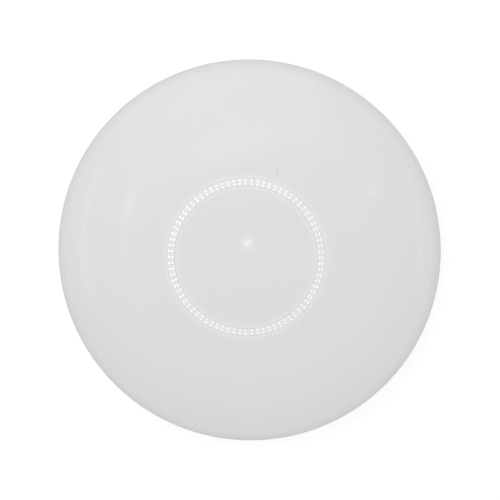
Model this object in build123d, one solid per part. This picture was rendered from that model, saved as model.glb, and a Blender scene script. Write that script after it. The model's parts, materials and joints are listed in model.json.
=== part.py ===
from build123d import *
from math import acos, asin, cos, degrees, radians, sin
import os

# Round ceiling-mounted wireless access point, in millimetres.
# Frame: Z = 0 is the bracket's ceiling face and +Z points out of the ceiling into the room, so the
# model lies on its back with its dome up. The Z axis is the axis of the dome and of the twist lock.
# A bracket screwed to the ceiling holds a housing of two shells by a short twist. The housing holds
# a round board, its heat sink, three antennas and the parts that light the beaded ring.

# ---- housing ----
OUTER_RADIUS = 88.0
TOTAL_HEIGHT = 43.0
CROWN_RADIUS = 300.0      # shallow middle of the dome
CROWN_REACH = 55.0        # radius where the crown hands over to the shoulder
SHOULDER_RADIUS = 80.0
EDGE_RADIUS = 9.0         # rounded rim
FRONT_WALL = 2.5
REAR_WALL = 2.2
FRONT_END_ANGLE = 19.0    # the front cover wraps this far under the rim, in degrees of the rim arc
SEAM_ANGLE = 1.5          # open seam between the covers, in degrees of the rim arc
BOWL_START_ANGLE = 55.0   # where the rim arc hands over to the rear bowl
BOWL_RADIUS = 80.0
FOOT_Z = 1.5              # the rear cover stays this far off the ceiling
LIP_RADII = (83.4, 84.8)  # rear cover's upstand inside the front cover

# ---- light ring ----
BEAD_COUNT = 80           # pairs of beads round the ring
BEAD_ROW_RADII = (32.9, 34.45)
BEAD_RADIUS = 0.75
BEAD_HEIGHT = 0.36        # how far a bead stands out of the ring
LENS_RADII = (32.0, 35.35)
GROOVE_DEPTH = 1.3
LENS_GAP = 0.05
GUIDE_RADII = (32.2, 35.1)
GUIDE_Z = (34.6, 38.1)
GUIDE_LEG_RADII = (32.6, 34.7)
GUIDE_LEG_Z = 28.2
GUIDE_RIBS = ((30.6, 31.7), (35.5, 36.6))
LIGHT_COUNT = 8
LIGHT_HEIGHT = 1.2

# ---- recess and twist lock ----
RECESS_RADIUS = 60.0
RECESS_FLOOR_Z = 9.5
FLOOR_THICKNESS = 2.0
LUG_ANGLES = (45, 135, 225, 315)
LUG_HALF_ARC = 8.0        # degrees
LEDGE_INNER = 55.5
LEDGE_Z = (3.4, 5.2)
LUG_STOP_GAP = 0.6        # degrees between a bracket flange and the stop on the housing's ledge
LUG_STOP_ARC = 2.4
FLANGE_OUTER = 59.5
FLANGE_Z = (5.5, 7.3)
RELEASE_TWIST = 18.0      # degrees from locked to free
BRACKET_RADII = (40.0, 54.8)
BRACKET_PLATE = 2.5
BRACKET_RIM_INNER = 52.4
BOLT_CIRCLE_RADIUS = 47.0
BOLT_ANGLES = (67.5, 157.5, 247.5, 337.5)
BOLT_HOLE_RADIUS = 2.25
BOLT_PAD_RADIUS = 4.6

# ---- sprung latch ----
TOOTH_ANGLE = 8.0         # where the tooth sits, in degrees round the bracket
TOOTH_HALF_ARC = 1.2
TOOTH_TIP = 58.0
TOOTH_TRAVEL = 2.17       # how far the tooth moves in over the whole twist
RAMP_GAP = 0.55           # between the tooth and the ramp that presses it in
LATCH_ARM_RADII = (52.2, 53.8)
LATCH_Z = (0.4, 3.0)
KNUCKLE_PLACE = (53.0, 36.2)  # radius and angle
KNUCKLE_RADIUS = 1.3
KNUCKLE_GAP = 0.06
PIN_GROOVE_HALF_WIDTH = 1.2

# ---- board ----
BOARD_RADIUS = 74.0
BOARD_Z = (25.1, 26.7)
POST_RADIUS = 3.5
POST_CIRCLE = 56.0
POST_ANGLES = (28, 152, 208, 332)  # clear of the lock's ledges, so that a driver reaches the screws
POST_FOOT_Z = 13.6
BOARD_SCREW_CIRCLE = 68.0
BOARD_SCREW_ANGLES = (0, 120, 240)
ANTENNA_ANGLES = (60, 180, 300)
ANTENNA_TOP_Z = 30.9
ANTENNA_SHEET = 0.5
SHIELD_WALL = 0.3

# ---- heat path ----
SINK_X, SINK_Y = (-36.0, 36.0), (12.0, 52.0)
SINK_BASE_Z = (18.9, 21.9)
SINK_PAD_Z = 22.9
FIN_COUNT = 17
FIN_PITCH = 4.4
FIN_THICKNESS = 1.3
FIN_FOOT_Z = 12.6
SINK_SCREW_PLACES = ((-32, 16), (32, 16), (-32, 46), (32, 46))
RADIO_PLACES = {"radio_2g": (-22.0, 30.0), "radio_5g": (22.0, 30.0)}
SHIELD_SIDE = 21.0
SHIELD_HEIGHT = 2.4

# ---- plain packages on the board's rear face: centre x, centre y, width, depth, height ----
REAR_PACKAGES = {
    "processor_chip": [(0.0, 30.0, 17.0, 17.0, 1.4)],
    "memory_chip": [(0.0, 46.0, 12.0, 9.0, 1.1)],
    "flash_chip": [(0.0, 15.5, 8.0, 6.0, 1.8)],
    "network_chip": [(15.5, 4.0, 9.0, 9.0, 0.9)],
    "line_transformer": [(-18.5, -2.0, 6.6, 14.0, 6.0)],
    "power_chips": [
        (-48.0, 2.0, 6.0, 5.0, 1.5),
        (-48.0, 11.0, 5.0, 4.4, 1.1),
        (47.0, -6.0, 5.0, 5.0, 0.9),
    ],
    "clock_crystals": [(-10.5, 16.0, 3.2, 2.5, 0.8), (23.5, 4.0, 3.2, 2.5, 0.8)],
    "bridge_rectifiers": [(-26.0, -2.0, 7.0, 5.0, 2.5), (-26.0, 5.5, 7.0, 5.0, 2.5)],
}

# ---- power parts ----
CAPACITOR_PLACES = ((-22.5, -30.0), (-22.5, -40.0), (-32.5, -42.0))
CAPACITOR_RADIUS = 4.0
CAPACITOR_HEIGHT = 11.5
INDUCTORS = ((30.0, -6.0, 12.0, 6.0), (35.0, -22.0, 10.0, 5.0))  # centre x, centre y, side, height
TRANSFORMER_PLACE = (-36.0, -15.0)
CORE_SIZE = (16.0, 10.0, 11.0)
WINDOW_X = (2.6, 6.6)     # each side of the transformer's centre
WINDOW_Z = (15.8, 23.2)
BOBBIN_X, BOBBIN_Y = 6.5, 7.5
BOBBIN_GAP = 0.1
HEADER_PLACE = (-30.0, -46.2)
HEADER_PITCH = 2.54
HEADER_PINS = 4

# ---- cable bay and network socket ----
BAY_X, BAY_Y = (-13.0, 13.0), (-50.0, -12.0)
BAY_ROOF_Z = 22.0
BAY_WALL = 2.0
SOCKET_X, SOCKET_Y, SOCKET_Z = (-8.0, 8.0), (-11.8, 9.5), (11.6, 25.1)
SOCKET_SHEET = 0.3
CAVITY_X, CAVITY_Z = (-5.95, 5.95), (15.6, 23.6)
CAVITY_END_Y = 3.6
CONTACT_COUNT = 8
CONTACT_PITCH = 1.02
CONTACT_SIZE = 0.4

# ---- reset control ----
RESET_PLACE = (22.0, -22.0)
BUTTON_RADIUS = 1.5
BUTTON_TIP_Z = 10.2       # recessed behind the floor's face
BUTTON_TOP_Z = 20.9
BUTTON_GAP = 0.05
SWITCH_SIDE = 6.0
SWITCH_HEIGHT = 3.5

# ---- worked-out dimensions ----
CROWN_ANGLE = degrees(asin(CROWN_REACH / CROWN_RADIUS))
CROWN_CENTRE_Z = TOTAL_HEIGHT - CROWN_RADIUS
RIM_CENTRE_RADIUS = OUTER_RADIUS - EDGE_RADIUS
SHOULDER_OFFSET = CROWN_REACH - SHOULDER_RADIUS * sin(radians(CROWN_ANGLE))
SHOULDER_END_ANGLE = degrees(asin((RIM_CENTRE_RADIUS - SHOULDER_OFFSET) / (SHOULDER_RADIUS - EDGE_RADIUS)))
CROWN_DROP = CROWN_RADIUS * (1 - cos(radians(CROWN_ANGLE)))
SHOULDER_DROP = SHOULDER_RADIUS * (cos(radians(CROWN_ANGLE)) - cos(radians(SHOULDER_END_ANGLE)))
RIM_Z = TOTAL_HEIGHT - CROWN_DROP - SHOULDER_DROP - EDGE_RADIUS * cos(radians(SHOULDER_END_ANGLE))
SEAM_Z = RIM_Z - EDGE_RADIUS * sin(radians(FRONT_END_ANGLE))
FLOOR_TOP_Z = RECESS_FLOOR_Z + FLOOR_THICKNESS
BOARD_REAR_Z, BOARD_FRONT_Z = BOARD_Z


# ---- small helpers ----
def spin(lines):
    """Solid of revolution about Z from a closed outline drawn as (radius, height)."""
    return revolve(Plane.XZ * make_face(lines), Axis.Z)


def block(x, y, z):
    """Box from three (low, high) pairs."""
    box = Box(x[1] - x[0], y[1] - y[0], z[1] - z[0], align=(Align.MIN,) * 3)
    return Pos(x[0], y[0], z[0]) * box


def centred_block(x, y, width, depth, z):
    """Box round a point of the board, between two heights."""
    return block((x - width / 2, x + width / 2), (y - depth / 2, y + depth / 2), z)


def disc(radius, z, place=(0.0, 0.0)):
    """Upright cylinder between two heights."""
    align = (Align.CENTER, Align.CENTER, Align.MIN)
    return Pos(*place, z[0]) * Cylinder(radius, z[1] - z[0], align=align)


def tube(radii, z, place=(0.0, 0.0)):
    """Upright tube with an (inner, outer) pair of radii."""
    return disc(radii[1], z, place) - disc(radii[0], (z[0] - 1, z[1] + 1), place)


def sector(radii, z, start, end):
    """Part of a ring about Z between two angles in degrees."""
    section = Rectangle(radii[1] - radii[0], z[1] - z[0], align=(Align.MIN, Align.MIN))
    face = Plane.XZ * (Pos(radii[0], z[0]) * section)
    return Rot(Z=start) * revolve(face, Axis.Z, end - start)


def polar(radius, angle):
    return radius * cos(radians(angle)), radius * sin(radians(angle))


def around(radius, angles):
    """Points on a circle about Z."""
    return [polar(radius, angle) for angle in angles]


def joined(pieces):
    """Fuses a list of solids into one."""
    first, *others = pieces
    return first.fuse(*others)


def group(pieces):
    """Keeps separate solids together in one node."""
    return Compound(children=list(pieces))


def crown_z(radius):
    """Height of the crown's surface at a radius."""
    return CROWN_CENTRE_Z + (CROWN_RADIUS ** 2 - radius ** 2) ** 0.5


# ---- front cover and light parts ----
def dome_lines(inset, end_angle):
    """Arcs of the dome's section, moved in by inset, from the axis round the rim."""
    crown = JernArc((0, TOTAL_HEIGHT - inset), (1, 0), CROWN_RADIUS - inset, -CROWN_ANGLE)
    shoulder_turn = SHOULDER_END_ANGLE - CROWN_ANGLE
    shoulder = JernArc(crown @ 1, crown % 1, SHOULDER_RADIUS - inset, -shoulder_turn)
    rim_turn = 90 - SHOULDER_END_ANGLE + end_angle
    rim = JernArc(shoulder @ 1, shoulder % 1, EDGE_RADIUS - inset, -rim_turn)
    return [crown, shoulder, rim]


def under_dome(pieces):
    """Cuts pieces off inside the dome's wall, so that they fuse to it without showing."""
    arcs = dome_lines(FRONT_WALL / 2, 0)
    rim_end = arcs[-1] @ 1
    space = spin(arcs + [Polyline(rim_end, (rim_end.X, 0), (0, 0), arcs[0] @ 0)])
    return [piece & space for piece in pieces]


def groove_floor_z():
    """Height of the flat floor of the light ring's groove."""
    return crown_z(sum(LENS_RADII) / 2) - GROOVE_DEPTH


def front_cover():
    """Dome with the light ring's groove, ribs round the light guide, four posts and three bosses."""
    outer = dome_lines(0, FRONT_END_ANGLE)
    inner = dome_lines(FRONT_WALL, FRONT_END_ANGLE)
    lip = Line(outer[-1] @ 1, inner[-1] @ 1)
    axis = Line(inner[0] @ 0, outer[0] @ 0)
    ribs = [tube(radii, (GUIDE_Z[0], TOTAL_HEIGHT)) for radii in GUIDE_RIBS]
    post_places = around(POST_CIRCLE, POST_ANGLES)
    boss_places = around(BOARD_SCREW_CIRCLE, BOARD_SCREW_ANGLES)
    posts = [disc(POST_RADIUS, (POST_FOOT_Z, TOTAL_HEIGHT), place) for place in post_places]
    bosses = [disc(3.0, (BOARD_FRONT_Z, TOTAL_HEIGHT), place) for place in boss_places]
    shell = joined([spin(outer + inner + [lip, axis])] + under_dome(ribs + posts + bosses))
    groove_radii = (LENS_RADII[0] - LENS_GAP, LENS_RADII[1] + LENS_GAP)
    groove = tube(groove_radii, (groove_floor_z(), TOTAL_HEIGHT))
    post_holes = [disc(1.3, (POST_FOOT_Z, 28.0), place) for place in post_places]
    boss_holes = [disc(1.1, (BOARD_FRONT_Z, 31.2), place) for place in boss_places]
    return shell.cut(groove, *post_holes, *boss_holes)


def bead(row_radius, number):
    """Ball sunk into the ring until only its cap stands out."""
    x, y = polar(row_radius, 360 / BEAD_COUNT * number)
    return Pos(x, y, crown_z(row_radius) + BEAD_HEIGHT - BEAD_RADIUS) * Sphere(BEAD_RADIUS)


def light_ring():
    """Clear ring, flush with the dome, with two rows of bead lenses."""
    floor_z = groove_floor_z() + LENS_GAP
    body = tube(LENS_RADII, (floor_z, TOTAL_HEIGHT)) & Pos(0, 0, CROWN_CENTRE_Z) * Sphere(CROWN_RADIUS)
    return joined([body] + [bead(row, n) for row in BEAD_ROW_RADII for n in range(BEAD_COUNT)])


def light_guide():
    """Ring behind the light ring, on legs that stand over the board's lights."""
    leg_z = (GUIDE_LEG_Z, GUIDE_Z[0] + 0.5)
    spacing = 360 / LIGHT_COUNT
    legs = [sector(GUIDE_LEG_RADII, leg_z, spacing * n - 3, spacing * n + 3) for n in range(LIGHT_COUNT)]
    return joined([tube(GUIDE_RADII, GUIDE_Z)] + legs)


def status_lights():
    """Light packages on the board's front, one under each leg of the guide."""
    package = block((32.2, 35.0), (-1.6, 1.6), (BOARD_FRONT_Z, BOARD_FRONT_Z + LIGHT_HEIGHT))
    return group(Rot(Z=360 / LIGHT_COUNT * n) * package for n in range(LIGHT_COUNT))


# ---- rear cover ----
def bowl_lines(inset):
    """Arcs of the rear cover's section, from the seam round the rim and in to the foot."""
    seam_end = FRONT_END_ANGLE + SEAM_ANGLE
    centre = (RIM_CENTRE_RADIUS, RIM_Z)
    rim = CenterArc(centre, EDGE_RADIUS - inset, -seam_end, seam_end - BOWL_START_ANGLE)
    start_slope = 90 - BOWL_START_ANGLE
    height = RIM_Z - EDGE_RADIUS * sin(radians(BOWL_START_ANGLE)) - FOOT_Z
    end_slope = degrees(acos(cos(radians(start_slope)) + height / BOWL_RADIUS))
    bowl = JernArc(rim @ 1, rim % 1, BOWL_RADIUS - inset, end_slope - start_slope)
    return [rim, bowl]


def bowl_shell():
    """Skin of the rear cover: bowl, foot, recess wall and recess floor."""
    outer, inner = bowl_lines(0), bowl_lines(REAR_WALL)
    wall_radius = RECESS_RADIUS + REAR_WALL
    inner_end = inner[-1] @ 1
    corners = [
        outer[-1] @ 1,
        (RECESS_RADIUS, FOOT_Z),
        (RECESS_RADIUS, RECESS_FLOOR_Z),
        (0, RECESS_FLOOR_Z),
        (0, FLOOR_TOP_Z),
        (wall_radius, FLOOR_TOP_Z),
        (wall_radius, inner_end.Y),
        inner_end,
    ]
    return spin(outer + inner + [Polyline(*corners), Line(inner[0] @ 0, outer[0] @ 0)])


def ledge(angle):
    """Inward ledge of the recess wall, with the stop that ends the locking turn."""
    radii = (LEDGE_INNER, RECESS_RADIUS + 0.4)
    stop_start = angle + LUG_HALF_ARC + LUG_STOP_GAP
    stop_end = stop_start + LUG_STOP_ARC
    shelf = sector(radii, LEDGE_Z, angle - LUG_HALF_ARC, stop_end)
    return shelf + sector(radii, (LEDGE_Z[0], 8.8), stop_start, stop_end)


def ramp_point(angle):
    """Point of the ramp's working edge: it follows the tooth as the latch swings in."""
    turned = (TOOTH_ANGLE - angle) / RELEASE_TWIST
    return polar(TOOTH_TIP + RAMP_GAP - TOOTH_TRAVEL * turned, angle)


def latch_ramp():
    """Cam on the recess wall that presses the latch in as the housing turns, with its end stop."""
    start, end = TOOTH_ANGLE + 3.2, TOOTH_ANGLE - RELEASE_TWIST - 4.0
    middle = (start + end) / 2
    wall = RECESS_RADIUS + 0.4
    edge = ThreePointArc(ramp_point(start), ramp_point(middle), ramp_point(end))
    back = ThreePointArc(polar(wall, end), polar(wall, middle), polar(wall, start))
    outline = [edge, Line(edge @ 1, back @ 0), back, Line(back @ 1, edge @ 0)]
    ramp = Pos(0, 0, FOOT_Z) * extrude(make_face(outline), LATCH_Z[1] - FOOT_Z)
    return ramp + sector((56.2, wall), (FOOT_Z, LATCH_Z[1]), start, start + 3)


def pin_groove():
    """Groove under the foot that leads a release pin to the latch's tooth."""
    half = PIN_GROOVE_HALF_WIDTH
    return Rot(Z=TOOTH_ANGLE) * block((LEDGE_INNER, 74), (-half, half), (FOOT_Z - 1, LATCH_Z[1]))


def vent_slot(x):
    """Round-ended slot through the recess floor, under the heat sink's fins."""
    slot = SlotOverall(26, 2.4, rotation=90)
    return Pos(x, 33, RECESS_FLOOR_Z - 1) * extrude(slot, FLOOR_THICKNESS + 2)


def rear_cover():
    """Bowl with the bracket's recess, cable bay, vents, screw seats and the button's guide."""
    seat_z = (RECESS_FLOOR_Z, POST_FOOT_Z - 0.1)
    seat_places = around(POST_CIRCLE, POST_ANGLES)
    bay_walls = block(
        (BAY_X[0] - BAY_WALL, BAY_X[1] + BAY_WALL),
        (BAY_Y[0] - BAY_WALL, BAY_Y[1] + BAY_WALL),
        (RECESS_FLOOR_Z, BAY_ROOF_Z + BAY_WALL),
    )
    solids = [bowl_shell(), tube(LIP_RADII, (SEAM_Z - 3.5, SEAM_Z + 2.5)), bay_walls, latch_ramp()]
    solids += [disc(4.5, seat_z, place) for place in seat_places]
    solids += [disc(3.2, seat_z, RESET_PLACE)]
    solids += [ledge(angle) for angle in LUG_ANGLES]

    below_floor = RECESS_FLOOR_Z - 1
    window_x = (SOCKET_X[0] - 0.2, SOCKET_X[1] + 0.2)
    cuts = [
        block(BAY_X, BAY_Y, (below_floor, BAY_ROOF_Z)),
        block(window_x, (BAY_Y[1] - 1, BAY_Y[1] + 3), (FLOOR_TOP_Z - 0.1, SOCKET_Z[1])),
        disc(BUTTON_RADIUS + BUTTON_GAP, (below_floor, POST_FOOT_Z), RESET_PLACE),
        pin_groove(),
    ]
    cuts += [disc(3.1, (below_floor, 11.7), place) for place in seat_places]
    cuts += [disc(1.6, (RECESS_FLOOR_Z, POST_FOOT_Z), place) for place in seat_places]
    cuts += [vent_slot(x) for x in range(-32, 33, 8)]
    return joined(solids).cut(*cuts)


# ---- bracket and latch ----
def mounting_bracket():
    """Ring plate with a rim wall, four outward flanges, screw holes and the latch's socket."""
    inner, outer = BRACKET_RADII
    bolt_places = around(BOLT_CIRCLE_RADIUS, BOLT_ANGLES)
    solids = [
        tube(BRACKET_RADII, (0, BRACKET_PLATE)),
        tube((BRACKET_RIM_INNER, outer), (0, FLANGE_Z[1])),
        tube((inner, inner + 1.8), (0, 5.0)),
        sector((49.6, outer), (0, 5.0), 33.6, 39.5),
    ]
    for angle in LUG_ANGLES:
        lug = sector((outer - 0.5, FLANGE_OUTER), FLANGE_Z, angle - LUG_HALF_ARC, angle + LUG_HALF_ARC)
        solids.append(lug)
    solids += [disc(BOLT_PAD_RADIUS, (0, 3.6), place) for place in bolt_places]
    solids += [sector((inner, 53.0), (0, 4.4), angle - 1, angle + 1) for angle in range(22, 360, 45)]

    slot_angles = range(90, 316, 45)
    cuts = [disc(BOLT_HOLE_RADIUS, (-1, 5), place) for place in bolt_places]
    cuts += [sector((45.2, 48.8), (-1, 5), angle - 11, angle + 11) for angle in slot_angles]
    return joined(solids).cut(*cuts, *latch_room())


def latch_room():
    """Space that the latch swings in, and the round socket of its knuckle."""
    radius, angle = KNUCKLE_PLACE
    swing = sector((49.0, 56.0), (-1, 9), TOOTH_ANGLE - 3.5, angle - 1.8)
    socket = disc(KNUCKLE_RADIUS + KNUCKLE_GAP, (-1, 4.0), polar(radius, angle))
    mouth = Rot(Z=angle - 2.2) * block((50.5, 54.2), (-1.0, 1.2), (-1, 4.0))
    return [swing, socket, mouth]


def lock_latch():
    """Curved arm on a round knuckle, with the tooth that the ramp presses in."""
    arm = sector(LATCH_ARM_RADII, LATCH_Z, TOOTH_ANGLE - 2.5, KNUCKLE_PLACE[1])
    knuckle = disc(KNUCKLE_RADIUS, LATCH_Z, polar(*KNUCKLE_PLACE))
    tooth_radii = (LATCH_ARM_RADII[1] - 0.1, TOOTH_TIP)
    tooth = sector(tooth_radii, LATCH_Z, TOOTH_ANGLE - TOOTH_HALF_ARC, TOOTH_ANGLE + TOOTH_HALF_ARC)
    return joined([arm, knuckle, tooth])


# ---- board and its small parts ----
def main_board():
    """Round board with clearance for the cover's posts and for the screws."""
    through = (BOARD_REAR_Z - 1, BOARD_FRONT_Z + 1)
    holes = [disc(POST_RADIUS + 0.5, through, place) for place in around(POST_CIRCLE, POST_ANGLES)]
    holes += [disc(1.5, through, place) for place in around(BOARD_SCREW_CIRCLE, BOARD_SCREW_ANGLES)]
    holes += [disc(1.4, through, place) for place in SINK_SCREW_PLACES]
    return disc(BOARD_RADIUS, BOARD_Z).cut(*holes)


def rear_package(x, y, width, depth, height):
    """Box-shaped part that hangs from the board's rear face."""
    return centred_block(x, y, width, depth, (BOARD_REAR_Z - height, BOARD_REAR_Z))


def rear_shield(x, y):
    """Thin metal can on the rear face, open towards the board."""
    top, inside = BOARD_REAR_Z - SHIELD_HEIGHT, SHIELD_SIDE - 2 * SHIELD_WALL
    outer = centred_block(x, y, SHIELD_SIDE, SHIELD_SIDE, (top, BOARD_REAR_Z))
    return outer - centred_block(x, y, inside, inside, (top + SHIELD_WALL, BOARD_REAR_Z + 1))


def front_end_shield(angle):
    """Thin metal can beside one antenna, on the front face."""
    radius, side, height = 46.0, 13.0, 2.0
    inside = side - 2 * SHIELD_WALL
    outer = centred_block(radius, 0, side, side, (BOARD_FRONT_Z, BOARD_FRONT_Z + height))
    inner_z = (BOARD_FRONT_Z - 1, BOARD_FRONT_Z + height - SHIELD_WALL)
    return Rot(Z=angle) * (outer - centred_block(radius, 0, inside, inside, inner_z))


def front_end_chips():
    chip = centred_block(46.0, 0, 5.0, 5.0, (BOARD_FRONT_Z, BOARD_FRONT_Z + 0.9))
    return group(Rot(Z=angle) * chip for angle in ANTENNA_ANGLES)


def antenna(angle):
    """Folded strip antenna: slotted top plate on a feed leg and a ground leg, with an inner arm."""
    plate_z = (ANTENNA_TOP_Z - ANTENNA_SHEET, ANTENNA_TOP_Z)
    foot_z = (BOARD_FRONT_Z, BOARD_FRONT_Z + ANTENNA_SHEET)
    plate = sector((60.5, 67.5), plate_z, -14, 14)
    slot = sector((63.4, 64.4), (plate_z[0] - 1, plate_z[1] + 1), -11, 14.5)
    pieces = [plate - slot, sector((56.5, 60.8), plate_z, 2, 5), sector((56.5, 58.5), plate_z, -4, 5)]
    for start, end in ((-13.5, -10.5), (-6.0, -3.5)):
        pieces.append(sector((60.5, 60.5 + ANTENNA_SHEET), (BOARD_FRONT_Z, ANTENNA_TOP_Z), start, end))
        pieces.append(sector((60.5, 63.0), foot_z, start, end))
    return Rot(Z=angle) * joined(pieces)


def antenna_supports():
    """Plastic pillar under the free end of each antenna's plate."""
    pillar_z = (BOARD_FRONT_Z, ANTENNA_TOP_Z - ANTENNA_SHEET)
    pillar = Rot(Z=10) * centred_block(64.0, 0, 5.0, 3.6, pillar_z)
    return group(Rot(Z=angle) * pillar for angle in ANTENNA_ANGLES)


def console_header():
    """Pin header for service, on the board's front face."""
    x, y = HEADER_PLACE
    first_x = x - HEADER_PITCH * (HEADER_PINS - 1) / 2
    pin_x = [first_x + HEADER_PITCH * n for n in range(HEADER_PINS)]
    pins = [centred_block(x, y, 0.64, 0.64, (BOARD_FRONT_Z, 32.5)) for x in pin_x]
    housing = centred_block(x, y, HEADER_PITCH * HEADER_PINS, 2.6, (BOARD_FRONT_Z, BOARD_FRONT_Z + 2.5))
    return joined([housing] + pins)


# ---- heat path ----
def heat_sink():
    """Finned plate with a raised pad for the processor and a standoff at each screw."""
    solids = [
        block(SINK_X, SINK_Y, SINK_BASE_Z),
        centred_block(0, 30, 17, 17, (SINK_BASE_Z[1] - 0.2, SINK_PAD_Z)),
    ]
    middle_y, depth = sum(SINK_Y) / 2, SINK_Y[1] - SINK_Y[0]
    for n in range(FIN_COUNT):
        x = FIN_PITCH * (n - (FIN_COUNT - 1) / 2)
        solids.append(centred_block(x, middle_y, FIN_THICKNESS, depth, (FIN_FOOT_Z, SINK_BASE_Z[0] + 0.2)))
    solids += [disc(2.8, (SINK_BASE_Z[1] - 0.2, BOARD_REAR_Z), place) for place in SINK_SCREW_PLACES]
    return joined(solids).cut(*[disc(1.05, (18.0, 26.0), place) for place in SINK_SCREW_PLACES])


def thermal_pads():
    """Soft pads between the heat sink and the processor and radio shields."""
    processor = centred_block(0, 30, 16, 16, (SINK_PAD_Z, BOARD_REAR_Z - 1.4))
    radio_z = (SINK_BASE_Z[1], BOARD_REAR_Z - SHIELD_HEIGHT)
    return group([processor] + [centred_block(x, y, 19, 19, radio_z) for x, y in RADIO_PLACES.values()])


# ---- power parts ----
def large_capacitors():
    """Upright cans, each with the groove near its open end."""
    cans = []
    for place in CAPACITOR_PLACES:
        can = disc(CAPACITOR_RADIUS, (BOARD_REAR_Z - CAPACITOR_HEIGHT, BOARD_REAR_Z), place)
        cans.append(can - tube((CAPACITOR_RADIUS - 0.4, 5.0), (22.3, 23.1), place))
    return group(cans)


def power_inductors():
    """Moulded blocks with a round raised top."""
    blocks = []
    for x, y, side, height in INDUCTORS:
        top = BOARD_REAR_Z - height
        blocks.append(rear_package(x, y, side, side, height - 0.8) + disc(side * 0.42, (top, top + 1), (x, y)))
    return group(blocks)


def transformer_windows(gap):
    """The two windows of the transformer's core, made smaller by a gap."""
    x, y = TRANSFORMER_PLACE
    low, high = WINDOW_X[0] + gap, WINDOW_X[1] - gap
    z = (WINDOW_Z[0] + gap, WINDOW_Z[1] - gap)
    depth = (y - BOBBIN_Y, y + BOBBIN_Y)
    return [block((x - high, x - low), depth, z), block((x + low, x + high), depth, z)]


def transformer_core():
    """Ferrite block with the windings' two windows."""
    return rear_package(*TRANSFORMER_PLACE, *CORE_SIZE).cut(*transformer_windows(0))


def transformer_bobbin():
    """Winding former through the core's windows, standing on the board on two feet."""
    x, y = TRANSFORMER_PLACE
    end_x = (x - BOBBIN_X, x + BOBBIN_X)
    end_z = (WINDOW_Z[0] + BOBBIN_GAP, BOARD_REAR_Z)
    near, far = CORE_SIZE[1] / 2 + BOBBIN_GAP, BOBBIN_Y
    ends = [block(end_x, (y - far, y - near), end_z), block(end_x, (y + near, y + far), end_z)]
    return joined(ends + transformer_windows(BOBBIN_GAP))


# ---- network socket ----
def socket_shell():
    """Metal skin round the socket, open at its mouth and towards the board."""
    inner_x = (SOCKET_X[0] + SOCKET_SHEET, SOCKET_X[1] - SOCKET_SHEET)
    inner_y = (SOCKET_Y[0] - 1, SOCKET_Y[1] - SOCKET_SHEET)
    inner_z = (SOCKET_Z[0] + SOCKET_SHEET, SOCKET_Z[1] + 1)
    return block(SOCKET_X, SOCKET_Y, SOCKET_Z) - block(inner_x, inner_y, inner_z)


def socket_insert():
    """Moulded body with the plug's cavity, the channel for the plug's tab and the contacts' slot."""
    inset = SOCKET_SHEET + 0.05
    body_x = (SOCKET_X[0] + inset, SOCKET_X[1] - inset)
    body_y = (SOCKET_Y[0] + 0.1, SOCKET_Y[1] - inset)
    body_z = (SOCKET_Z[0] + inset, SOCKET_Z[1] - 0.05)
    mouth = SOCKET_Y[0] - 1
    cuts = [
        block(CAVITY_X, (mouth, CAVITY_END_Y), CAVITY_Z),
        block((-3.1, 3.1), (mouth, 1.0), (13.2, CAVITY_Z[0] + 0.1)),
        block((-1.7, 1.7), (mouth, 1.0), (12.6, 13.3)),
        block((-4.4, 4.4), (-4.6, CAVITY_END_Y), (CAVITY_Z[1] - 0.1, SOCKET_Z[1])),
    ]
    return block(body_x, body_y, body_z).cut(*cuts)


def socket_contacts():
    """Eight wires that come down from the board, fold back and slope into the plug's cavity."""
    path = FilletPolyline((3.0, BOARD_REAR_Z - 0.1), (3.0, 24.1), (-3.8, 24.1), (2.2, 20.9), radius=0.4)
    section = Plane.YZ * trace(path, CONTACT_SIZE)
    wire = extrude(section, CONTACT_SIZE / 2, both=True)
    return group(Pos(X=CONTACT_PITCH * (n - (CONTACT_COUNT - 1) / 2)) * wire for n in range(CONTACT_COUNT))


# ---- reset control ----
def reset_switch():
    """Body of the push switch, open below for its stem."""
    body = rear_package(*RESET_PLACE, SWITCH_SIDE, SWITCH_SIDE, SWITCH_HEIGHT)
    return body - disc(1.85, (BUTTON_TOP_Z, 23.9), RESET_PLACE)


def reset_switch_stem():
    return disc(1.7, (BUTTON_TOP_Z + BUTTON_GAP, 23.2), RESET_PLACE)


def reset_button():
    """Long plunger: its tip is recessed in the rear cover and its top bears on the switch."""
    tip = disc(BUTTON_RADIUS, (BUTTON_TIP_Z, 13.7), RESET_PLACE)
    collar = disc(2.6, (POST_FOOT_Z, 14.8), RESET_PLACE)
    shaft = disc(1.2, (14.7, BUTTON_TOP_Z), RESET_PLACE)
    return joined([tip, collar, shaft])


# ---- screws and label ----
def screw(place, head_z, shank_end, head_radius, shank_radius):
    """Pan-head screw with a cross recess; head_z runs from the seat to the head's outer face."""
    seat, outer_face = head_z
    head = disc(head_radius, sorted(head_z), place)
    shank = disc(shank_radius, sorted((seat, shank_end)), place)
    recess_z = (outer_face - 0.9, outer_face + 0.9)
    length, width = head_radius * 1.24, head_radius * 0.28
    cross = centred_block(*place, length, width, recess_z) + centred_block(*place, width, length, recess_z)
    return head + shank - cross


def case_screws():
    """Screws that draw the two covers together."""
    return group(screw(place, (11.65, 9.8), 24.0, 2.8, 1.25) for place in around(POST_CIRCLE, POST_ANGLES))


def board_screws():
    """Screws that hold the board to the front cover."""
    places = around(BOARD_SCREW_CIRCLE, BOARD_SCREW_ANGLES)
    return group(screw(place, (BOARD_REAR_Z, 23.3), 30.6, 2.5, 1.05) for place in places)


def sink_screws():
    """Screws that pull the heat sink to the board."""
    head_z = (BOARD_FRONT_Z, BOARD_FRONT_Z + 1.7)
    return group(screw(place, head_z, 19.2, 2.4, 1.0) for place in SINK_SCREW_PLACES)


def rating_label():
    """Blank plate on the recess floor beside the cable bay."""
    thickness = 0.2
    outline = Pos(-27.5, -2.0) * RectangleRounded(17, 26, 1.5)
    return Pos(0, 0, RECESS_FLOOR_Z - thickness) * extrude(outline, thickness)


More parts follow.
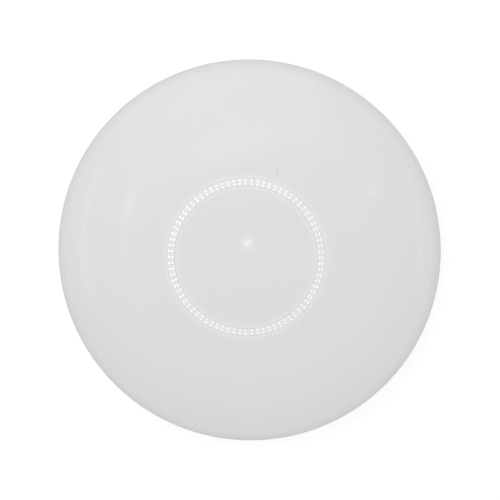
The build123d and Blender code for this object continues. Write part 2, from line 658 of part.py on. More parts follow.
def build_nodes():
    """Every node by name."""
    nodes = {
        "mounting_bracket": mounting_bracket(),
        "lock_latch": lock_latch(),
        "front_cover": front_cover(),
        "rear_cover": rear_cover(),
        "light_ring": light_ring(),
        "light_guide": light_guide(),
        "status_lights": status_lights(),
        "main_board": main_board(),
        "front_end_chips": front_end_chips(),
        "antenna_supports": antenna_supports(),
        "console_header": console_header(),
        "heat_sink": heat_sink(),
        "thermal_pads": thermal_pads(),
        "transformer_core": transformer_core(),
        "transformer_bobbin": transformer_bobbin(),
        "large_capacitors": large_capacitors(),
        "power_inductors": power_inductors(),
        "socket_shell": socket_shell(),
        "socket_insert": socket_insert(),
        "socket_contacts": socket_contacts(),
        "reset_switch": reset_switch(),
        "reset_switch_stem": reset_switch_stem(),
        "reset_button": reset_button(),
        "case_screws": case_screws(),
        "board_screws": board_screws(),
        "sink_screws": sink_screws(),
        "rating_label": rating_label(),
    }
    for name, packages in REAR_PACKAGES.items():
        nodes[name] = group(rear_package(*package) for package in packages)
    for name, place in RADIO_PLACES.items():
        nodes[f"{name}_shield"] = rear_shield(*place)
        nodes[f"{name}_chip"] = rear_package(*place, 12.0, 12.0, 1.0)
    for number, angle in enumerate(ANTENNA_ANGLES, start=1):
        nodes[f"antenna_{number}"] = antenna(angle)
        nodes[f"front_end_shield_{number}"] = front_end_shield(angle)
    return nodes


os.makedirs("parts", exist_ok=True)
for node_name, shape in build_nodes().items():
    export_step(shape, f"parts/{node_name}.step")
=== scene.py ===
import json
import math
import random

import bmesh
import bpy
from mathutils import Matrix, Vector
from mathutils.bvhtree import BVHTree


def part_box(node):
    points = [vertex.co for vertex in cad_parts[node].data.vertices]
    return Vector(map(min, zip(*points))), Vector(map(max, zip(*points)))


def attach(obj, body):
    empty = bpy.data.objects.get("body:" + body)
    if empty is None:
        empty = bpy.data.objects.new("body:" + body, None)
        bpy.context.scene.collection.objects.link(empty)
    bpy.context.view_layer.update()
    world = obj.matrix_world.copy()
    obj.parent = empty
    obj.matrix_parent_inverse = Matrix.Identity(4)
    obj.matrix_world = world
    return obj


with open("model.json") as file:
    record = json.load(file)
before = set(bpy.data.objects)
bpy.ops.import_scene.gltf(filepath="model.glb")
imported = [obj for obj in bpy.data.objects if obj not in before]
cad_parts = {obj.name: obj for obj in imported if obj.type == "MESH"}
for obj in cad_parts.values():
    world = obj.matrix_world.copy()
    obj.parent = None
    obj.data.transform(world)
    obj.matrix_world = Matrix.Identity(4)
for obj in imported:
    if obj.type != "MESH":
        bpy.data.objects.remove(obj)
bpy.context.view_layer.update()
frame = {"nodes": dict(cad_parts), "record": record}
nodes = frame["nodes"]

# ---- sizes in metres ----
MM = 0.001
cover_low, cover_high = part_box("front_cover")
board_low, board_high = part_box("main_board")
label_low, label_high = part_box("rating_label")
OUTER_RADIUS = (cover_high.x - cover_low.x) / 2

CAMERA_DISTANCE = 0.70
CAMERA_TILT_X = 0.052      # sideways lean of the view, as a share of its height
CAMERA_TILT_Y = 0.106
FRAME_HALF_WIDTH = OUTER_RADIUS * 1.307
AIM = Vector((0.0007, 0.0010, 0.0188))    # near the middle of the dome's widest circle
SENSOR_WIDTH = 36          # millimetres
CLIP_RANGE = (0.01, 20)

BEAD_PAIRS = 80
BEAD_ROWS = (0.0329, 0.03445)    # radii of the two rows
LIT_ANGLE = 133            # direction of the ring's brightest stretch of painted highlight, in degrees
BEAD_CORE = (0.00030, 0.00074)   # the painted highlight in the middle of a bead fades out over this distance
RING_MIDDLE = 0.033675     # radius of the middle of the light ring's band
PAINTED_GLOW_REACH = (0.0017, 0.0046)   # the painted glow in the dome fades out over this distance from there
# strength of the painted glow around the ring in the dome
PAINTED_GLOW_STRENGTH = 0.045
# strength of the ring's painted highlight and painted glow
RING_PAINTED_STRENGTH = 0.20
BAND_PAINTED_GLOW = (0.12, 0.12, 0.12)  # painted glow of the band between the beads
FLARE_WINDOW = (-0.6, 1.0)       # cosine of the angle to LIT_ANGLE, from the dimmest to the brightest
FLARE_RANGE = (0.30, 1.0)
UNEVEN_RANGE = (0.55, 1.35)      # from bead to bead

HORIZON_LIGHT = 0.52
ZENITH_LIGHT = 0.97
ZENITH_HEIGHT = 0.55       # the world is fully bright above this height of the view direction
LIGHTS = (   # name, place, width, depth in metres, power in watts
    ("key", (-0.40, 1.30, 1.20), 2.40, 2.40, 7.5),
    ("overhead", (-0.17, 0.62, 1.70), 0.60, 0.25, 0.30),
    ("window_left", (-0.83, 0.00, 1.30), 0.55, 0.07, 0.09),
    ("pane_left", (-0.76, 0.12, 1.30), 0.14, 0.20, 0.14),
    ("pane_right", (0.82, 0.31, 1.30), 0.08, 0.14, 0.07),
    ("strip_left", (-1.10, 0.05, 0.62), 0.90, 0.12, 0.30),
    ("strip_right", (1.10, 0.05, 0.62), 0.90, 0.10, 0.24),
    ("spark", (-0.070, -0.076, 1.50), 0.020, 0.020, 0.048),
)

FLOOR_RADIUS = 4.0
FLOOR_NEAR = (0.555, 0.565)      # from dark to light
FLOOR_FAR = 0.62
FLOOR_FADE = (0.5, 2.6)          # the near floor turns into the far one over this distance
FLOOR_STRENGTH = 0.50

# marks of handling on the dome: middle x, y, half length, half width in millimetres, heading in degrees
MARKS = (
    (13.9, 37.9, 1.9, 0.24, 80),
    (72.6, 40.5, 0.5, 0.5, 0),
)
MARK_FADE = (0.4, 1.2)     # shares of the half sizes
MARK_COLOUR = (0.30, 0.29, 0.28)
MARK_SHARE = 0.30
SPECK_SPACING = 0.034      # of random dust on the dome
SPECK_FADE = (0.004, 0.012)      # shares of the spacing

TRACK_LENGTH = 0.0042      # routed tracks of the board
TRACK_PITCH = 0.0011
TRACK_GAP = 0.00016
VIA_SPACING = 0.0032
VIA_FADE = (0.07, 0.10)    # shares of the spacing

LABEL_INSET = 1.3 * MM
LABEL_LINE = 0.11 * MM     # half width of a printed line
LABEL_RULES = (-3.0 * MM, 5.0 * MM)
LABEL_FIELD_SHARE = 0.35

# small chip parts on the board: body length, width, height in millimetres, share of the rows
CHIP_SIZES = {"capacitor": (1.6, 0.8, 0.7, 0.4), "resistor": (1.0, 0.5, 0.35, 0.6)}
CHIP_ROWS = 150            # rows that are tried on each face of the board
CHIP_RUN = (1, 5)          # parts in a row
CHIP_GAP = 0.5 * MM        # between the parts of a row
CHIP_SLACK = 0.98          # share of the row's step that parts have to be apart
SIDE_BY_SIDE_CHANCE = 0.8  # or else the parts of a row lie end to end
CHIP_BODY = (0.9, 0.94, 0.94)    # shares of length, width and height that the body takes
CHIP_BEVEL = 0.12          # share of the shortest side
CHIP_END = 0.22            # share of the length that each tinned end covers
CHIP_CLEARANCE = 1.0 * MM  # to the next part on the board
CHIP_HEADROOM = 12 * MM    # nothing may stand over a chip part nearer than this
PROBE_LIFT = 0.05 * MM     # rays start this far off the board
PROBE_DEPTH = 0.5 * MM
BOARD_EDGE = 2.5 * MM

BLACK = (0, 0, 0)
WHITE = (1, 1, 1)

SEED = 11
random.seed(SEED)


# ---- node helpers ----
class Maker:
    """Builds one node material, step by step."""

    def __init__(self, name, colour, rough, metal=0.0):
        self.material = bpy.data.materials.new(name)
        self.material.use_nodes = True
        self.tree = self.material.node_tree
        self.shader = self.tree.nodes["Principled BSDF"]
        self.shader.inputs["Base Color"].default_value = (*colour, 1)
        self.shader.inputs["Roughness"].default_value = rough
        self.shader.inputs["Metallic"].default_value = metal
        self.place = self.tree.nodes.new("ShaderNodeTexCoord").outputs["Object"]
        self.normal = None

    def set(self, **values):
        for name, value in values.items():
            self.shader.inputs[name.replace("_", " ")].default_value = value
        return self

    def link(self, output, target):
        self.tree.links.new(output, target)

    def add(self, kind, **settings):
        node = self.tree.nodes.new("ShaderNode" + kind)
        for name, value in settings.items():
            setattr(node, name, value)
        return node

    def noise(self, size, detail=2.0, roughness=0.5, distortion=0.0):
        """Noise with features of about the given size in metres."""
        node = self.add("TexNoise")
        node.inputs["Scale"].default_value = 1 / size
        node.inputs["Detail"].default_value = detail
        node.inputs["Roughness"].default_value = roughness
        node.inputs["Distortion"].default_value = distortion
        self.link(self.place, node.inputs["Vector"])
        return node.outputs["Fac"]

    def stretched(self, scale):
        """Object coordinates scaled unevenly, for brushed or woven looks."""
        node = self.add("Mapping")
        node.inputs["Scale"].default_value = scale
        self.link(self.place, node.inputs["Vector"])
        return node.outputs["Vector"]

    def ramp(self, value, stops):
        """Colour that runs between two stops."""
        node = self.add("ValToRGB")
        for element, (position, colour) in zip(node.color_ramp.elements, stops):
            element.position = position
            element.color = (*colour, 1)
        self.link(value, node.inputs["Fac"])
        return node.outputs["Color"]

    def spread(self, value, low, high):
        """Maps 0..1 to low..high."""
        node = self.add("MapRange")
        node.inputs["To Min"].default_value = low
        node.inputs["To Max"].default_value = high
        self.link(value, node.inputs["Value"])
        return node.outputs["Result"]

    def window(self, value, start, end):
        """0 below start, 1 above end, smooth between."""
        node = self.add("MapRange", interpolation_type="SMOOTHSTEP")
        node.inputs["From Min"].default_value = start
        node.inputs["From Max"].default_value = end
        self.link(value, node.inputs["Value"])
        return node.outputs["Result"]

    def length(self, x, y):
        return self.math("SQRT", self.math("ADD", self.math("MULTIPLY", x, x), self.math("MULTIPLY", y, y)))

    def math(self, operation, *values):
        node = self.add("Math", operation=operation)
        for slot, value in zip(node.inputs, values):
            if isinstance(value, (int, float)):
                slot.default_value = value
            else:
                self.link(value, slot)
        return node.outputs["Value"]

    def mix(self, share, first, second):
        """Mixes two colours by a share socket."""
        node = self.add("Mix", data_type="RGBA")
        self.link(share, node.inputs["Factor"])
        for slot, value in ((node.inputs["A"], first), (node.inputs["B"], second)):
            if isinstance(value, tuple):
                slot.default_value = (*value, 1)
            else:
                self.link(value, slot)
        return node.outputs["Result"]

    def colour(self, output):
        self.link(output, self.shader.inputs["Base Color"])
        return self

    def rough(self, output):
        self.link(output, self.shader.inputs["Roughness"])
        return self

    def bump(self, height, depth, strength=1.0):
        """Adds relief of the given depth in metres; several calls stack."""
        node = self.add("Bump")
        node.inputs["Distance"].default_value = depth
        node.inputs["Strength"].default_value = strength
        self.link(height, node.inputs["Height"])
        if self.normal is not None:
            self.link(self.normal, node.inputs["Normal"])
        self.normal = node.outputs["Normal"]
        self.link(self.normal, self.shader.inputs["Normal"])
        return self


def tinted(colour, amount):
    return tuple(min(1.0, c * amount) for c in colour)


# ---- plastics ----
def moulded(name, colour, rough, grain=0.0004, depth=0.000012, coat=0.0):
    """Moulded plastic: fine tool texture, slow colour drift and slightly uneven gloss."""
    m = Maker(name, colour, rough)
    drift = m.noise(0.05, 3)
    m.colour(m.ramp(drift, [(0.3, tinted(colour, 0.985)), (0.7, tinted(colour, 1.01))]))
    m.rough(m.spread(m.noise(0.006, 4), rough * 0.88, rough * 1.14))
    m.bump(m.noise(grain, 2, 0.6), depth)
    m.set(Coat_Weight=coat, Coat_Roughness=0.08)
    return m


def mark_mask(m, x, y, mark):
    """1 on a short soft line on the dome, 0 away from it."""
    middle_x, middle_y, half_length, half_width = (value * MM for value in mark[:4])
    cos = math.cos(math.radians(mark[4]))
    sin = math.sin(math.radians(mark[4]))
    dx = m.math("SUBTRACT", x, middle_x)
    dy = m.math("SUBTRACT", y, middle_y)
    along = m.math("ABSOLUTE", m.math("ADD", m.math("MULTIPLY", dx, cos), m.math("MULTIPLY", dy, sin)))
    across = m.math("ABSOLUTE", m.math("SUBTRACT", m.math("MULTIPLY", dx, sin), m.math("MULTIPLY", dy, cos)))
    reach = m.math("MAXIMUM", m.math("DIVIDE", along, half_length), m.math("DIVIDE", across, half_width))
    return m.math("SUBTRACT", 1.0, m.window(reach, *MARK_FADE))


def cover_white():
    """Glossy white dome: slow flow waves, faint haze, dust, two marks and a painted glow in the plastic
    around the ring.
    """
    white = (0.674, 0.674, 0.674)
    m = Maker("cover_white", white, 0.3)
    drift = m.noise(0.06, 3)
    base = m.ramp(drift, [(0.3, tinted(white, 0.993)), (0.7, tinted(white, 1.006))])
    specks = m.add("TexVoronoi", feature="F1")
    specks.inputs["Scale"].default_value = 1 / SPECK_SPACING
    m.link(m.place, specks.inputs["Vector"])
    marked = m.math("SUBTRACT", 1.0, m.window(specks.outputs["Distance"], *SPECK_FADE))
    split = m.add("SeparateXYZ")
    m.link(m.place, split.inputs["Vector"])
    x, y = split.outputs["X"], split.outputs["Y"]
    for mark in MARKS:
        marked = m.math("MAXIMUM", marked, mark_mask(m, x, y, mark))
    m.colour(m.mix(m.math("MULTIPLY", marked, MARK_SHARE), base, MARK_COLOUR))
    haze = m.noise(0.022, 4, 0.6, 0.6)
    m.rough(m.spread(haze, 0.28, 0.40))
    m.bump(m.noise(0.016, 2), 0.00005, 0.5)
    m.bump(m.noise(0.0011, 3, 0.6), 0.0000025)
    # painted glow: emission in the dome near the light ring, fading out away from it
    from_ring = m.math("ABSOLUTE", m.math("SUBTRACT", m.length(x, y), RING_MIDDLE))
    painted_ring_glow = m.math("SUBTRACT", 1.0, m.window(from_ring, *PAINTED_GLOW_REACH))
    m.link(m.mix(painted_ring_glow, BLACK, WHITE), m.shader.inputs["Emission Color"])
    m.set(Coat_Weight=0.55, Coat_Roughness=0.085, Emission_Strength=PAINTED_GLOW_STRENGTH)
    return m


def lens_clear():
    """Satin band in the dome's white, with two rows of clear beads; each bead's middle has a painted
    highlight, and the band a faint painted glow.
    """
    band = (0.70, 0.70, 0.70)
    m = Maker("lens_clear", band, 0.2)
    split = m.add("SeparateXYZ")
    m.link(m.place, split.inputs["Vector"])
    x, y = split.outputs["X"], split.outputs["Y"]
    radius = m.length(x, y)
    angle = m.math("ARCTAN2", y, x)
    turn = m.math("FRACT", m.math("MULTIPLY_ADD", angle, BEAD_PAIRS / math.tau, BEAD_PAIRS + 0.5))
    spacing = m.math("MULTIPLY", radius, math.tau / BEAD_PAIRS)
    along = m.math("MULTIPLY", m.math("SUBTRACT", turn, 0.5), spacing)
    rows = [m.math("ABSOLUTE", m.math("SUBTRACT", radius, row)) for row in BEAD_ROWS]
    across = m.math("MINIMUM", *rows)
    # 1 in the middle of each bead: a painted highlight as a lighter colour and as emission, and a lower
    #                               roughness
    core = m.math("SUBTRACT", 1.0, m.window(m.length(along, across), *BEAD_CORE))
    cloud = m.noise(0.004, 3)
    satin = m.ramp(cloud, [(0.3, tinted(band, 0.985)), (0.7, tinted(band, 1.02))])
    m.colour(m.mix(core, satin, (0.90, 0.90, 0.90)))
    m.rough(m.spread(core, 0.26, 0.10))
    m.bump(m.noise(0.0006, 2), 0.000003)
    m.set(Coat_Weight=0.5, Coat_Roughness=0.05, IOR=1.49, Emission_Strength=RING_PAINTED_STRENGTH)
    # painted highlight: emission in the bead middles, brighter towards LIT_ANGLE and uneven from bead to
    # bead, over a faint painted glow of the band
    lamp = m.math("COSINE", m.math("SUBTRACT", angle, math.radians(LIT_ANGLE)))
    flare = m.spread(m.window(lamp, *FLARE_WINDOW), *FLARE_RANGE)
    uneven = m.spread(m.noise(0.0035, 2), *UNEVEN_RANGE)
    painted_bead_glow = m.math("MULTIPLY", core, m.math("MULTIPLY", flare, uneven))
    m.link(m.mix(painted_bead_glow, BAND_PAINTED_GLOW, WHITE), m.shader.inputs["Emission Color"])
    return m


def guide_clear():
    """Clear plastic that scatters the status lights."""
    m = moulded("guide_clear", (0.86, 0.88, 0.90), 0.18, 0.0012, 0.000006, 0.4)
    m.set(Subsurface_Weight=0.4, Subsurface_Scale=0.003)
    return m


# ---- metals ----
def sheet_metal(name, colour, rough, grain=(4000, 90, 90)):
    """Rolled, plated sheet with fine streaks and soft smudges."""
    m = Maker(name, colour, rough, 1.0)
    streak = m.add("TexNoise")
    streak.inputs["Scale"].default_value = 1.0
    streak.inputs["Detail"].default_value = 3
    m.link(m.stretched(grain), streak.inputs["Vector"])
    smudge = m.noise(0.007, 4, 0.6)
    m.colour(m.ramp(smudge, [(0.3, tinted(colour, 0.9)), (0.7, tinted(colour, 1.05))]))
    m.rough(m.spread(streak.outputs["Fac"], rough * 0.75, rough * 1.3))
    m.bump(streak.outputs["Fac"], 0.000004)
    return m


def cast_aluminium():
    """Cast heat sink: cloudy skin with fine grain."""
    m = Maker("heat_sink", (0.76, 0.77, 0.78), 0.42, 1.0)
    cloud = m.noise(0.004, 5, 0.65)
    m.colour(m.ramp(cloud, [(0.25, (0.66, 0.67, 0.68)), (0.75, (0.82, 0.83, 0.84))]))
    m.rough(m.spread(cloud, 0.34, 0.52))
    m.bump(m.noise(0.0003, 3, 0.7), 0.00001)
    return m


# ---- electronics ----
def board_green():
    """Solder mask with routed tracks under it, and vias."""
    m = Maker("board_green", (0.02, 0.15, 0.07), 0.3)
    bricks = m.add("TexBrick")
    bricks.inputs["Scale"].default_value = 1.0
    bricks.inputs["Mortar Size"].default_value = TRACK_GAP
    bricks.inputs["Brick Width"].default_value = TRACK_LENGTH
    bricks.inputs["Row Height"].default_value = TRACK_PITCH
    bricks.inputs["Color1"].default_value = (0.016, 0.125, 0.060, 1)
    bricks.inputs["Color2"].default_value = (0.020, 0.155, 0.072, 1)
    bricks.inputs["Mortar"].default_value = (0.045, 0.240, 0.110, 1)
    m.link(m.place, bricks.inputs["Vector"])
    vias = m.add("TexVoronoi", feature="F1")
    vias.inputs["Scale"].default_value = 1 / VIA_SPACING
    m.link(m.place, vias.inputs["Vector"])
    via = m.math("SUBTRACT", 1.0, m.window(vias.outputs["Distance"], *VIA_FADE))
    m.colour(m.mix(via, bricks.outputs["Color"], (0.55, 0.42, 0.20)))
    m.rough(m.spread(m.noise(0.003, 3), 0.22, 0.38))
    m.bump(bricks.outputs["Fac"], 0.00002)
    m.set(Coat_Weight=0.4, Coat_Roughness=0.12)
    return m


def chip_black():
    """Moulded chip package with fine grain."""
    m = Maker("chip_black", (0.028, 0.028, 0.031), 0.55)
    grain = m.noise(0.00018, 3, 0.7)
    m.colour(m.ramp(grain, [(0.3, (0.020, 0.020, 0.022)), (0.7, (0.042, 0.042, 0.046))]))
    m.rough(m.spread(grain, 0.45, 0.66))
    m.bump(grain, 0.000008)
    return m


def wound(name, colour):
    """Winding tape: overlapping layers with fine edges."""
    m = Maker(name, colour, 0.4)
    layers = m.add("TexWave", wave_type="BANDS", bands_direction="Z")
    layers.inputs["Scale"].default_value = 220
    layers.inputs["Distortion"].default_value = 0.6
    m.link(m.place, layers.inputs["Vector"])
    m.colour(m.ramp(layers.outputs["Fac"], [(0.2, tinted(colour, 0.72)), (0.8, tinted(colour, 1.08))]))
    m.rough(m.spread(m.noise(0.002, 3), 0.3, 0.5))
    m.bump(layers.outputs["Fac"], 0.00003)
    return m


def speckled(name, dark, light, size, rough):
    """Pressed or filled material with fine specks."""
    m = Maker(name, dark, rough)
    grain = m.noise(size, 4, 0.7)
    m.colour(m.ramp(grain, [(0.35, dark), (0.68, light)]))
    m.rough(m.spread(grain, rough * 0.85, rough * 1.1))
    m.bump(grain, size * 0.05)
    return m


def label_paper():
    """Blank satin label: printed border, two rule lines and a grey field, with no lettering."""
    m = Maker("label_paper", (0.70, 0.70, 0.69), 0.42)
    split = m.add("SeparateXYZ")
    m.link(m.place, split.inputs["Vector"])
    middle = (label_low + label_high) / 2
    half = (label_high - label_low) / 2
    across = m.math("ABSOLUTE", m.math("SUBTRACT", split.outputs["X"], middle.x))
    along = m.math("SUBTRACT", split.outputs["Y"], middle.y)
    edge = m.math(
        "MAXIMUM",
        m.math("SUBTRACT", across, half.x - LABEL_INSET),
        m.math("SUBTRACT", m.math("ABSOLUTE", along), half.y - LABEL_INSET),
    )
    inside = m.math("LESS_THAN", edge, -LABEL_INSET)
    ink = m.math("LESS_THAN", m.math("ABSOLUTE", edge), LABEL_LINE)
    for height in LABEL_RULES:
        rule = m.math("LESS_THAN", m.math("ABSOLUTE", m.math("SUBTRACT", along, height)), LABEL_LINE)
        ink = m.math("MAXIMUM", ink, m.math("MULTIPLY", rule, inside))
    field = m.math("MULTIPLY", inside, m.math("LESS_THAN", along, LABEL_RULES[0]))
    paper = m.ramp(m.noise(0.0009, 3), [(0.3, (0.67, 0.67, 0.66)), (0.7, (0.72, 0.72, 0.71))])
    printed = m.mix(m.math("MULTIPLY", field, LABEL_FIELD_SHARE), paper, (0.38, 0.39, 0.40))
    m.colour(m.mix(ink, printed, (0.22, 0.23, 0.24)))
    m.rough(m.spread(m.noise(0.004, 2), 0.36, 0.5))
    m.bump(m.noise(0.0003, 2), 0.000005)
    return m


def chip_ceramic():
    """Fired ceramic of chip capacitors, warm grey-brown with fine grain."""
    m = Maker("chip_ceramic", (0.36, 0.26, 0.17), 0.45)
    grain = m.noise(0.0004, 3, 0.6)
    m.colour(m.ramp(grain, [(0.3, (0.32, 0.23, 0.15)), (0.7, (0.42, 0.31, 0.21))]))
    m.rough(m.spread(grain, 0.38, 0.55))
    m.bump(grain, 0.000005)
    return m


def chip_tin():
    """Tinned end of a chip part, uneven from soldering."""
    m = Maker("chip_tin", (0.76, 0.76, 0.75), 0.3, 1.0)
    melt = m.noise(0.0005, 3, 0.6)
    m.colour(m.ramp(melt, [(0.3, (0.66, 0.66, 0.65)), (0.7, (0.82, 0.82, 0.81))]))
    m.rough(m.spread(melt, 0.22, 0.42))
    m.bump(melt, 0.00002)
    return m


def build_materials():
    return {
        "cover_white": cover_white(),
        "rear_white": moulded("rear_white", (0.645, 0.645, 0.643), 0.5, 0.00045, 0.00002),
        "bracket_white": moulded("bracket_white", (0.63, 0.63, 0.626), 0.52, 0.0005, 0.00002),
        "latch_white": moulded("latch_white", (0.61, 0.61, 0.60), 0.5, 0.0004, 0.000015),
        "lens_clear": lens_clear(),
        "guide_clear": guide_clear(),
        "light_package": speckled("light_package", (0.86, 0.80, 0.52), (0.93, 0.90, 0.74), 0.0004, 0.3),
        "board_green": board_green(),
        "chip_black": chip_black(),
        "support_white": moulded("support_white", (0.80, 0.80, 0.78), 0.45),
        "header_black": moulded("header_black", (0.03, 0.03, 0.03), 0.45, 0.0003, 0.00001),
        "heat_sink": cast_aluminium(),
        "thermal_pad": speckled("thermal_pad", (0.42, 0.47, 0.55), (0.52, 0.57, 0.64), 0.0005, 0.75),
        "ferrite": speckled("ferrite", (0.045, 0.045, 0.05), (0.10, 0.10, 0.11), 0.0003, 0.5),
        "bobbin_tape": wound("bobbin_tape", (0.80, 0.56, 0.06)),
        "capacitor_sleeve": moulded("capacitor_sleeve", (0.02, 0.03, 0.07), 0.22, 0.001, 0.00001, 0.5),
        "inductor_grey": speckled("inductor_grey", (0.10, 0.10, 0.105), (0.22, 0.22, 0.23), 0.00035, 0.6),
        "shield_steel": sheet_metal("shield_steel", (0.74, 0.74, 0.73), 0.3),
        "crystal_steel": sheet_metal("crystal_steel", (0.78, 0.78, 0.77), 0.22),
        "socket_black": moulded("socket_black", (0.025, 0.025, 0.027), 0.4, 0.0003, 0.00001),
        "contact_gold": sheet_metal("contact_gold", (0.90, 0.66, 0.28), 0.2),
        "switch_black": moulded("switch_black", (0.03, 0.03, 0.03), 0.5, 0.0003, 0.00001),
        "stem_black": moulded("stem_black", (0.05, 0.05, 0.05), 0.45, 0.0003, 0.00001),
        "button_grey": moulded("button_grey", (0.32, 0.32, 0.33), 0.42, 0.0003, 0.00001),
        "screw_steel": sheet_metal("screw_steel", (0.66, 0.66, 0.65), 0.32, (900, 900, 3000)),
        "antenna_metal": sheet_metal("antenna_metal", (0.82, 0.79, 0.73), 0.25),
        "label_paper": label_paper(),
    }


def dress_nodes(materials):
    """Puts each record slot's material on its CAD nodes."""
    for part in frame["record"]["subparts"]:
        node = nodes[part["node"]]
        made = materials[part["material_slot"]].material
        node.data.materials.clear()
        node.data.materials.append(made)
        for polygon in node.data.polygons:
            polygon.material_index = 0


# ---- small parts on the board ----
def rounded_box(size):
    """Points and faces of a box with small rounded edges, centred on the origin."""
    mesh = bmesh.new()
    bmesh.ops.create_cube(mesh, size=1.0)
    bmesh.ops.scale(mesh, vec=size, verts=mesh.verts)
    bmesh.ops.bevel(mesh, geom=list(mesh.edges), offset=min(size) * CHIP_BEVEL, segments=2, affect="EDGES")
    mesh.verts.index_update()
    points = [vertex.co.copy() for vertex in mesh.verts]
    faces = [[vertex.index for vertex in face.verts] for face in mesh.faces]
    mesh.free()
    return points, faces


def add_copy(heap, shape, centre, turned):
    """Adds a shape to a heap of points and faces, turned to lie along Y if asked."""
    points, faces = heap
    start = len(points)
    for point in shape[0]:
        x, y = (-point.y, point.x) if turned else (point.x, point.y)
        points.append((centre.x + x, centre.y + y, centre.z + point.z))
    faces.extend([start + index for index in face] for face in shape[1])


def search_tree(names):
    """Tree for ray casts against the named CAD nodes."""
    points, faces = [], []
    for name in names:
        start = len(points)
        points += [nodes[name].matrix_world @ vertex.co for vertex in nodes[name].data.vertices]
        faces += [[start + index for index in polygon.vertices] for polygon in nodes[name].data.polygons]
    return BVHTree.FromPolygons(points, faces)


def near_board(name):
    low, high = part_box(name)
    return low.z < board_high.z + CHIP_HEADROOM and high.z > board_low.z - CHIP_HEADROOM


def is_free(tree, board_tree, x, y, side, reach):
    """True if the board is solid here and nothing stands on it within reach of the point."""
    surface = board_low.z if side < 0 else board_high.z
    for dx in (-reach, 0, reach):
        for dy in (-reach, 0, reach):
            start = Vector((x + dx, y + dy, surface + side * PROBE_LIFT))
            if tree.ray_cast(start, (0, 0, side), CHIP_HEADROOM)[0] is not None:
                return False
            if board_tree.ray_cast(start, (0, 0, -side), PROBE_DEPTH)[0] is None:
                return False
    return True


def place_chips(side, tree, board_tree):
    """Short rows of chip parts on one face of the board: kind, x, y, and whether it lies along Y."""
    placed = []
    limit = (board_high.x - board_low.x) / 2 - BOARD_EDGE
    for _ in range(CHIP_ROWS):
        radius = limit * math.sqrt(random.random())
        angle = random.random() * math.tau
        x = radius * math.cos(angle)
        y = radius * math.sin(angle)
        kind = "capacitor" if random.random() < CHIP_SIZES["capacitor"][3] else "resistor"
        count = random.randint(*CHIP_RUN)
        turned = random.random() < 0.5
        across = random.random() < SIDE_BY_SIDE_CHANCE
        length = CHIP_SIZES[kind][0] * MM
        width = CHIP_SIZES[kind][1] * MM
        step = (width if across else length) + CHIP_GAP
        along_x = turned if across else not turned
        for number in range(count):
            px, py = (x + number * step, y) if along_x else (x, y + number * step)
            reach = length / 2 + CHIP_CLEARANCE
            apart = all(math.hypot(px - other[1], py - other[2]) > step * CHIP_SLACK for other in placed)
            if apart and math.hypot(px, py) < limit and is_free(tree, board_tree, px, py, side, reach):
                placed.append((kind, px, py, turned))
    return placed


def make_chips(materials):
    """Chip capacitors and resistors with tinned ends on both faces of the board, joined by kind."""
    left_out = ("main_board", "front_cover")
    tree = search_tree([name for name in nodes if name not in left_out and near_board(name)])
    board_tree = search_tree(["main_board"])
    heaps = {name: ([], []) for name in ("capacitor", "resistor", "tin")}
    shapes = {}
    for kind, (length, width, height, _) in CHIP_SIZES.items():
        sides = zip((length, width, height), CHIP_BODY)
        body = rounded_box(tuple(side * share * MM for side, share in sides))
        shapes[kind] = (body, rounded_box((length * CHIP_END * MM, width * MM, height * MM)))
    for side in (-1, 1):
        surface = board_low.z if side < 0 else board_high.z
        for kind, x, y, turned in place_chips(side, tree, board_tree):
            body, end_cap = shapes[kind]
            length = CHIP_SIZES[kind][0] * MM
            height = CHIP_SIZES[kind][2] * MM
            centre = Vector((x, y, surface + side * height / 2))
            add_copy(heaps[kind], body, centre, turned)
            offset = Vector((0, 1, 0) if turned else (1, 0, 0)) * length * (1 - CHIP_END) / 2
            for end in (-1, 1):
                add_copy(heaps["tin"], end_cap, centre + offset * end, turned)
    finishes = {
        "capacitor": chip_ceramic().material,
        "resistor": materials["chip_black"].material,
        "tin": chip_tin().material,
    }
    for kind, (points, faces) in heaps.items():
        data = bpy.data.meshes.new(f"board_{kind}_parts")
        data.from_pydata(points, [], faces)
        data.materials.append(finishes[kind])
        data.shade_smooth()
        piece = bpy.data.objects.new(f"board_{kind}_parts", data)
        bpy.context.scene.collection.objects.link(piece)
        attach(piece, "housing")


# ---- stage, lights and camera ----
def make_floor():
    """White sweep that dims towards the horizon, where it meets the studio's wall."""
    bpy.ops.mesh.primitive_circle_add(vertices=96, radius=FLOOR_RADIUS, fill_type="NGON", location=(0, 0, 0))
    floor = bpy.context.object
    floor.name = "floor"
    dark, light, far_grey = ((value,) * 3 for value in (*FLOOR_NEAR, FLOOR_FAR))
    m = Maker("floor", dark, 0.9)
    away = m.add("VectorMath", operation="LENGTH")
    m.link(m.place, away.inputs[0])
    far = m.window(away.outputs["Value"], *FLOOR_FADE)
    near = m.ramp(m.noise(0.4, 2), [(0.3, dark), (0.7, light)])
    m.colour(m.mix(far, near, far_grey))
    m.link(m.mix(far, WHITE, BLACK), m.shader.inputs["Emission Color"])
    m.set(Emission_Strength=FLOOR_STRENGTH, Specular_IOR_Level=0.0)
    floor.data.materials.append(m.material)
    floor.visible_glossy = False


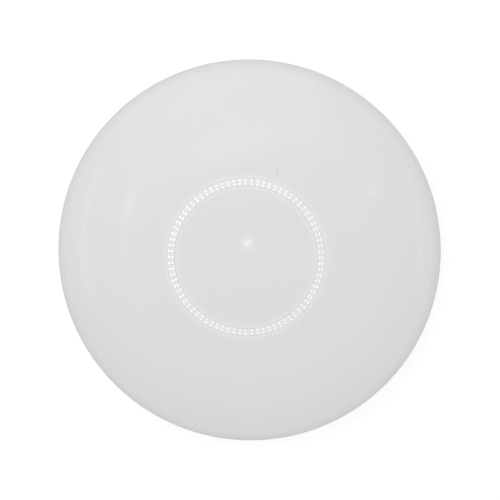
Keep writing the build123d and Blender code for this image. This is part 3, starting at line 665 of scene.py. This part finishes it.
def area_light(name, place, width, depth, power):
    """Softbox that faces the object. Its width lies level."""
    data = bpy.data.lights.new(name, "AREA")
    data.shape = "RECTANGLE"
    data.size = width
    data.size_y = depth
    data.energy = power
    light = bpy.data.objects.new(name, data)
    bpy.context.scene.collection.objects.link(light)
    light.location = place
    light.rotation_mode = "QUATERNION"
    light.rotation_quaternion = Vector(place).to_track_quat("Z", "Y")


def make_world():
    """Even white dome of light that dims towards the horizon."""
    world = bpy.data.worlds.new("studio")
    bpy.context.scene.world = world
    world.use_nodes = True
    tree = world.node_tree
    background = tree.nodes["Background"]
    split = tree.nodes.new("ShaderNodeSeparateXYZ")
    height = tree.nodes.new("ShaderNodeMapRange")
    height.inputs["From Max"].default_value = ZENITH_HEIGHT
    height.inputs["To Min"].default_value = HORIZON_LIGHT
    height.inputs["To Max"].default_value = ZENITH_LIGHT
    tree.links.new(tree.nodes.new("ShaderNodeTexCoord").outputs["Generated"], split.inputs["Vector"])
    tree.links.new(split.outputs["Z"], height.inputs["Value"])
    tree.links.new(height.outputs["Result"], background.inputs["Strength"])
    background.inputs["Color"].default_value = (*WHITE, 1)


def make_lights():
    for name, place, width, depth, power in LIGHTS:
        area_light(name, place, width, depth, power)


def make_camera():
    data = bpy.data.cameras.new("camera")
    camera = bpy.data.objects.new("camera", data)
    bpy.context.scene.collection.objects.link(camera)
    bpy.context.scene.camera = camera
    direction = Vector((CAMERA_TILT_X, CAMERA_TILT_Y, 1)).normalized()
    camera.location = AIM + direction * CAMERA_DISTANCE
    camera.rotation_mode = "QUATERNION"
    right = Vector((0, 1, 0)).cross(direction).normalized()
    up = direction.cross(right)
    camera.rotation_quaternion = Matrix((right, up, direction)).transposed().to_quaternion()
    data.sensor_width = SENSOR_WIDTH
    data.lens = SENSOR_WIDTH / 2 * CAMERA_DISTANCE / FRAME_HALF_WIDTH
    data.clip_start = CLIP_RANGE[0]
    data.clip_end = CLIP_RANGE[1]
    bpy.context.scene.view_settings.view_transform = "Standard"


materials = build_materials()
dress_nodes(materials)
make_chips(materials)
make_floor()
make_world()
make_lights()
make_camera()
